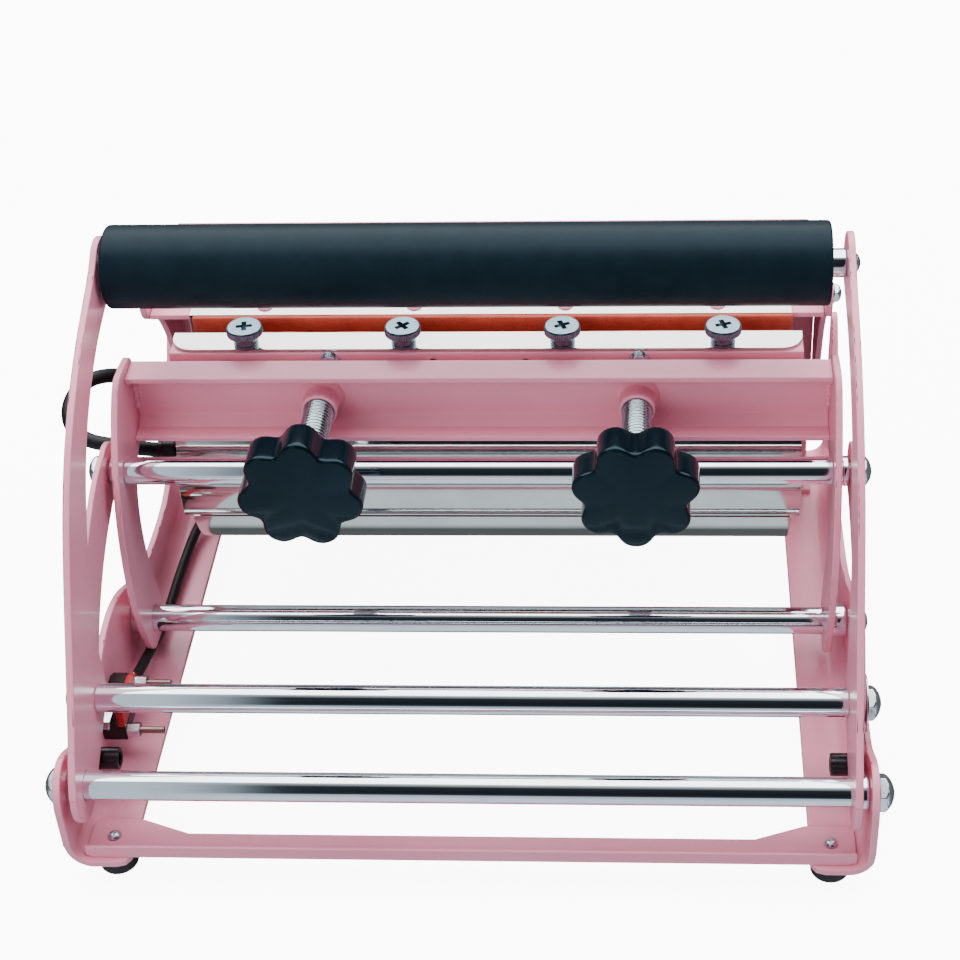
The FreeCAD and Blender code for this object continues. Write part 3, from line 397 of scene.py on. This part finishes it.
def through_screws():
    # plated nuts on coppery threads
    o = refine("switch_screws", ZINC, 0.12, 2)
    o.data.materials.append(COPPER)
    axes = [P(0, 49.9, 13.9), P(0, 70.6, 21.9)]
    for f in o.data.polygons:
        c = f.center
        if min(math.hypot(c.y - a.y, c.z - a.z) for a in axes) < 1.65 * MM:
            f.material_index = 1


through_screws()
for n in ("switch_lever", "switch_pivot"):
    refine(n, ZINC, 0.08, 1)
refine("rubber_feet", RUBBER, 0.6, 3)
refine("stop_bumpers", STOP, 0.5, 3)
refine("switch_body", PLASTIC, 0.35, 2)
refine("switch_cap", RED, 0.3, 2)
for n in ("supply_gland", "grip_bushings", "front_gland", "rear_gland"):
    refine(n, PLASTIC, 0.4, 2)


# ---------------------------------------------------------------- knobs and clamp screws
def knob(side, s, turn):
    segs, cx, cz, y0 = 196, s * 68.0, 120.0, 75.0
    prof = [("f", 0.03, 0.0), ("f", 0.15, 0.02), ("f", 0.3, 0.09), ("f", 0.45, 0.2), ("f", 0.6, 0.36), ("f", 0.72, 0.52), ("f", 0.82, 0.67)]
    for k in range(9):
        u = math.radians(90.0 * k / 8)
        prof.append(("d", 1.7 * (1 - math.sin(u)), 0.85 + 1.6 * (1 - math.cos(u))))
    prof += [("d", 0.0, 4.0), ("d", 0.0, 9.0), ("d", 0.0, 13.0)]
    for k in range(7):
        u = math.radians(90.0 * k / 6)
        prof.append(("d", 1.8 * (1 - math.cos(u)), 15.2 + 1.8 * math.sin(u)))
    prof += [("f", 0.6, 17.0), ("f", 0.3, 17.0), ("f", 0.05, 17.0)]
    rings = []
    for kind, v, t in prof:
        ring = []
        for i in range(segs):
            a = 2 * math.pi * i / segs
            r = 24.1 + 2.4 * math.cos(7 * (a - turn)) - 0.35 * math.cos(14 * (a - turn))
            r = r * v if kind == "f" else r - v
            ring.append(P(cx + r * math.sin(a), y0 + t, cz + r * math.cos(a)))
        rings.append(ring)
    bm = bmesh.new()
    grid_rings(bm, rings)
    o = finish_mesh("knob_%s_part" % side, bm, KNOB, 60.0, False)
    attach(o, "knob_" + side)
    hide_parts("knob_" + side)


def clamp_screw(side, s):
    segs, pitch, major, depth = 44, 2.0, 6.37, 0.62
    org = P(s * 68.0, 92.0, 120.0)
    bm = bmesh.new()
    hub = rounded([(0.2, 0.05, 0), (11.0, 0.05, 0.5), (11.0, 6.0, 0.9), (0.2, 6.0, 0)], 4)
    grid_rings(bm, lathe_rings(hub, 64, org, (0, 1, 0)))
    prof = [(major, 5.0 + 0.25 * k) for k in range(int((64.0 - 5.0) / 0.25) + 1)]

    def thread(a, r, t):
        u = (t / pitch - a / (2 * math.pi)) % 1.0
        cut = min(1.0, max(0.0, 1.35 - abs(u - 0.5) * 3.4))
        return -depth * cut - max(0.0, (t - 62.6) * 0.8)
    grid_rings(bm, lathe_rings(prof, segs, org, (0, 1, 0), thread))
    spig = rounded([(0.2, 63.0, 0), (3.5, 63.0, 0), (3.5, 70.9, 0.5), (0.2, 70.9, 0)], 3)
    grid_rings(bm, lathe_rings(spig, 36, org, (0, 1, 0)))
    ring = rounded([(0.2, 67.4, 0), (5.0, 67.4, 0.2), (5.0, 68.4, 0.2), (0.2, 68.4, 0)], 3)
    grid_rings(bm, lathe_rings(ring, 36, org, (0, 1, 0)))
    o = finish_mesh("clamp_screw_%s_part" % side, bm, TEAL_ZINC, 42.0, False)
    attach(o, BODY["clamp_screw_" + side])
    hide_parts("clamp_screw_" + side)


for side, s, turn in (("left", -1, math.radians(3)), ("right", 1, math.pi / 7)):
    knob(side, s, turn)
    clamp_screw(side, s)


def stud_ends():
    # threaded ends that stand out of the jaw angle
    bm = bmesh.new()
    for x in (-64.8, 68.8):
        prof = [(4.2, -0.05)] + [(4.2, 0.1 + 0.1 * k) for k in range(31)] + [(3.8, 3.3), (3.2, 3.4), (0.2, 3.4)]

        def thread(a, r, t):
            u = (t / 0.9 - a / (2 * math.pi)) % 1.0
            return -0.42 * min(1.0, max(0.0, 1.35 - abs(u - 0.5) * 3.4)) if 0.05 < t < 3.15 else 0.0
        grid_rings(bm, lathe_rings(prof, 40, P(x, 156.5, 132.2), (0, -1, 0), thread))
        grid_rings(bm, lathe_rings([(2.0, -2.0), (2.0, 0.1)], 24, P(x, 156.5, 132.2), (0, -1, 0)))
    o = finish_mesh("angle_screws_part", bm, TEAL_ZINC, 42.0, False)
    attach(o, BODY["angle_screws"])
    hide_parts("angle_screws")


stud_ends()


# ---------------------------------------------------------------- thumb screws
def thumb_screws():
    whole = bmesh.new()
    prof = rounded([(0.05, -9.0, 0), (2.9, -9.0, 0.6), (2.9, 0.0, 0), (5.3, 0.0, 0.2), (5.3, 1.5, 0.3), (4.7, 1.55, 0.1),
                    (4.6, 4.1, 0.5), (7.3, 5.85, 0.2), (7.7, 5.95, 0.2), (7.7, 8.8, 0.35), (7.2, 9.5, 0.5), (0.05, 9.5, 0)], 3)

    def knurl(a, r, t):
        return 0.14 * math.cos(52 * a) if r > 7.55 else 0.0
    for x, turn in ((-101.5, 8.0), (-32.8, 40.0), (35.9, 24.0), (104.6, 17.0)):
        bm = bmesh.new()
        grid_rings(bm, lathe_rings(prof, 208, Vector((0, 0, 0)), (0, 0, 1), knurl))
        bmesh.ops.recalc_face_normals(bm, faces=bm.faces)
        me = bpy.data.meshes.new("thumb_blank")
        bm.to_mesh(me)
        bm.free()
        blank = bpy.data.objects.new("thumb_blank", me)
        SCENE.collection.objects.link(blank)
        cb = bmesh.new()
        ring = []
        for k in range(4):
            a = math.radians(turn + 90 * k)
            d, q = Vector((math.cos(a), math.sin(a), 0)), Vector((-math.sin(a), math.cos(a), 0))
            ring += [(d, q, -1), (d, q, 1), (d, q, 0)]
        rows = []
        for t, long, half in ((9.9, 3.7, 1.15), (6.9, 2.2, 0.75)):
            row = []
            for k in range(4):
                d, q, _ = ring[3 * k]
                d2 = ring[(3 * k + 3) % 12][0]
                row += [d * long - q * half, d * long + q * half, (d + d2) * half]
            rows.append([(p * MM) + Vector((0, 0, t * MM)) for p in row])
        grid_rings(cb, rows)
        bmesh.ops.recalc_face_normals(cb, faces=cb.faces)
        cm = bpy.data.meshes.new("thumb_cross")
        cb.to_mesh(cm)
        cb.free()
        cutter = bpy.data.objects.new("thumb_cross", cm)
        SCENE.collection.objects.link(cutter)
        mod = blank.modifiers.new("cross", "BOOLEAN")
        mod.operation, mod.solver, mod.object = "DIFFERENCE", "EXACT", cutter
        dg = bpy.context.evaluated_depsgraph_get()
        done = bpy.data.meshes.new_from_object(blank.evaluated_get(dg))
        done.transform(Matrix.Translation(P(x, 161.6, 137.2)))
        whole.from_mesh(done)
        bpy.data.objects.remove(blank)
        bpy.data.objects.remove(cutter)
        bpy.data.meshes.remove(done)
    o = finish_mesh("thumb_screws_part", whole, BLUED, 35.0)
    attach(o, "front_jaw")
    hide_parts("thumb_screws")


thumb_screws()


# ---------------------------------------------------------------- roller grip
def grip():
    bm = bmesh.new()
    prof = rounded([(14.02, 60.0, 0), (14.02, 0.0, 0.5), (17.5, 0.0, 2.6), (17.5, 298.8, 2.6), (14.02, 298.8, 0.5), (14.02, 60.0, 0)], 6)
    rings = lathe_rings(prof[:-1], 112, P(-151.6, 150.0, 184.0), (1, 0, 0))
    vs = grid_rings(bm, rings, True, False, False)
    for i in range(112):
        j = (i + 1) % 112
        bm.faces.new((vs[-1][i], vs[-1][j], vs[0][j], vs[0][i]))
    o = finish_mesh("grip_sleeve_part", bm, GRIP, 60.0, False)
    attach(o, BODY["grip_sleeve"])
    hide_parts("grip_sleeve")


grip()


# ---------------------------------------------------------------- silicone pads
def heater_pad(node, cz, outer, inner, start, face, lip, top):
    cy = 181.0
    a_o = math.acos((face - cy) / outer)
    a_i = math.acos((lip - cy) / inner)
    s = math.radians(start)
    e_o, e_i = a_o, a_i
    if node == "rear_heater_pad":
        e_o, e_i = a_o + 2 * math.pi, a_i + 2 * math.pi
    n = 34
    sec = []
    for k in range(n + 1):
        a = s + (e_o - s) * k / n
        sec.append((cy + outer * math.cos(a), cz + outer * math.sin(a), 0.0))
    sign = 1.0 if lip > face else -1.0
    sec += [(face, top - 0.5, 0.0), (face + sign * 0.5, top, 0.3), (face + sign * 1.2, top + 0.15, 1.0),
            (lip - sign * 0.5, top, 1.0), (lip, top - 0.5, 1.0), (lip, top - 3.0, 1.0)]
    for k in range(n + 1):
        a = e_i + (s - e_i) * k / n
        sec.append((cy + inner * math.cos(a), cz + inner * math.sin(a), 0.25))
    m = len(sec)
    out = []
    for i in range(m):
        d = Vector(sec[(i + 1) % m][:2]) - Vector(sec[i - 1][:2])
        d.normalize()
        out.append(Vector((d.y, -d.x)))
    area2 = sum(sec[i - 1][0] * sec[i][1] - sec[i][0] * sec[i - 1][1] for i in range(m))
    if area2 < 0:
        out = [-v for v in out]
    rings = []
    x0, x1 = -129.75, 135.75
    xs = [x0, x0 + 0.25, x0 + 0.9] + [x0 + 2.2 + (x1 - x0 - 4.4) * k / 96 for k in range(97)] + [x1 - 0.9, x1 - 0.25, x1]
    for x in xs:
        e = min(x - x0, x1 - x)
        inset = 0.8 * (1 - math.sqrt(max(0.0, 1 - (1 - min(e, 0.9) / 0.9) ** 2)))
        ring = []
        for (y, z, free), nv in zip(sec, out):
            w = noise.noise(Vector((x * 0.045, z * 0.05 + sign, 3.7))) + 0.5 * noise.noise(Vector((x * 0.16, z * 0.08, 9.1 + sign)))
            off = 0.34 * w * free - inset
            ring.append(P(x, y + nv.x * off, z + nv.y * off))
        rings.append(ring)
    bm = bmesh.new()
    grid_rings(bm, rings)
    o = finish_mesh(node + "_part", bm, SILICONE, 50.0, False)
    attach(o, BODY[node])
    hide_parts(node)


heater_pad("front_heater_pad", 74.0, 43.8, 39.5, 195.5, 171.0, 173.4, 136.0)
heater_pad("rear_heater_pad", 70.0, 42.0, 37.7, 214.0, 185.0, 182.6, 137.0)


# ---------------------------------------------------------------- weld beads
def bead(name, route, body, radius, mat, step=0.7):
    pts = []
    for a, b in zip(route, route[1:]):
        k = max(2, int((b - a).length / (step * MM)))
        pts += [a.lerp(b, i / k) for i in range(k)]
    pts.append(route[-1])

    def rad(u):
        i = u * len(pts)
        swell = 0.80 + 0.2 * math.sin(i * 0.9) + 0.16 * noise.noise(Vector((i * 0.31, 2.0, radius)))
        return radius * MM * swell * min(1.0, 0.25 + 7 * min(u, 1 - u))
    bm = bmesh.new()
    tube_mesh(bm, pts, rad, 14)
    o = finish_mesh(name, bm, mat, 60.0, False)
    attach(o, body)


for s, side in ((-1, "left"), (1, "right")):
    bead("beam_weld_front_" + side, [P(s * 149.4, 146.6, 131.5), P(s * 149.4, 146.6, 112.5)], "hinged_frame", 1.5, PINK)
    bead("beam_weld_top_" + side, [P(s * 149.4, 136.5, 133.6), P(s * 149.4, 145.5, 133.6)], "hinged_frame", 1.2, PINK)


# ---------------------------------------------------------------- floor and light
def floor():
    bm = bmesh.new()
    bmesh.ops.create_grid(bm, x_segments=1, y_segments=1, size=6.0)
    me = bpy.data.meshes.new("floor")
    bm.to_mesh(me)
    bm.free()
    o = bpy.data.objects.new("floor", me)
    SCENE.collection.objects.link(o)
    m, nt, b = material("pale_floor")
    n = noise_tex(nt, coords(nt), 3.0, 2.0)
    nt.links.new(ramp(nt, n, [(0.3, (0.93, 0.93, 0.93, 1)), (0.7, (0.95, 0.95, 0.95, 1))]), b.inputs["Base Color"])
    b.inputs["Roughness"].default_value = 0.9
    b.inputs["Specular IOR Level"].default_value = 0.1
    b.inputs["Emission Color"].default_value = (1, 1, 1, 1)
    b.inputs["Emission Strength"].default_value = 9.0
    me.materials.append(m)
    o.visible_diffuse = False
    o.visible_glossy = False


floor()


def area(name, loc, target, sx, sy, power, color=(1, 1, 1)):
    d = bpy.data.lights.new(name, "AREA")
    d.shape = "RECTANGLE"
    d.size, d.size_y = sx, sy
    d.energy = power
    d.color = color
    o = bpy.data.objects.new(name, d)
    SCENE.collection.objects.link(o)
    o.location = loc
    o.rotation_euler = (Vector(target) - Vector(loc)).to_track_quat("-Z", "Y").to_euler()
    return o


def unseen(light):
    light.visible_glossy = False
    return light


area("overhead_softbox", (0.0, 1.0, 1.4), (0.0, 1.0, 0.0), 2.6, 2.75, 92.0)
unseen(area("front_fill", (-0.5, -1.3, 0.8), (0, 0, 0.1), 1.4, 0.9, 17.0, (1.0, 0.99, 0.99)))
unseen(area("side_fill", (1.6, -0.3, 0.8), (0, 0, 0.1), 0.9, 0.9, 7.0))

world = bpy.data.worlds.new("studio")
SCENE.world = world
world.use_nodes = True
wn = world.node_tree
bg = wn.nodes["Background"]
tc = wn.nodes.new("ShaderNodeTexCoord")
sep = wn.nodes.new("ShaderNodeSeparateXYZ")
wn.links.new(tc.outputs["Generated"], sep.inputs["Vector"])
rise = spread(wn, sep.outputs["Z"], 0.0, 1.0, -1.0, 1.0)


def grey(v, blue=0.06):
    return (v * (1 - blue), v, v * (1 + blue), 1.0)


ahead = ramp(wn, rise, [(0.0, grey(1.0, 0.10)), (0.20, grey(1.05, 0.12)), (0.30, grey(0.82, 0.12)), (0.42, grey(0.62, 0.12)),
                        (0.475, grey(0.05, 0.2)), (0.62, grey(0.015, 0.2)), (0.90, grey(0.03, 0.2)), (0.96, grey(0.4)), (1.0, grey(1.4))])
behind = ramp(wn, rise, [(0.0, grey(0.14)), (0.25, grey(0.12)), (0.48, grey(0.16)), (0.70, grey(0.30)), (0.80, grey(1.1)),
                         (1.0, grey(1.4))])
# a pale panel stands to the left of the object
across = spread(wn, sep.outputs["X"], 0.0, 1.0, -1.0, 1.0)
panel = ramp(wn, across, [(0.0, grey(0.0)), (0.24, grey(0.0)), (0.30, (1, 1, 1, 1)), (0.378, (1, 1, 1, 1)), (0.405, grey(0.0)), (1.0, grey(0.0))])
front = wn.nodes.new("ShaderNodeMix")
front.data_type = "RGBA"
wn.links.new(panel, front.inputs["Factor"])
wn.links.new(ahead, front.inputs["A"])
front.inputs["B"].default_value = grey(0.80, 0.12)
turn = spread(wn, sep.outputs["Y"], 0.0, 1.0, -0.12, 0.12)
both = wn.nodes.new("ShaderNodeMix")
both.data_type = "RGBA"
wn.links.new(turn, both.inputs["Factor"])
wn.links.new(front.outputs["Result"], both.inputs["A"])
wn.links.new(behind, both.inputs["B"])
wn.links.new(both.outputs["Result"], bg.inputs["Color"])
bg.inputs["Strength"].default_value = 1.0
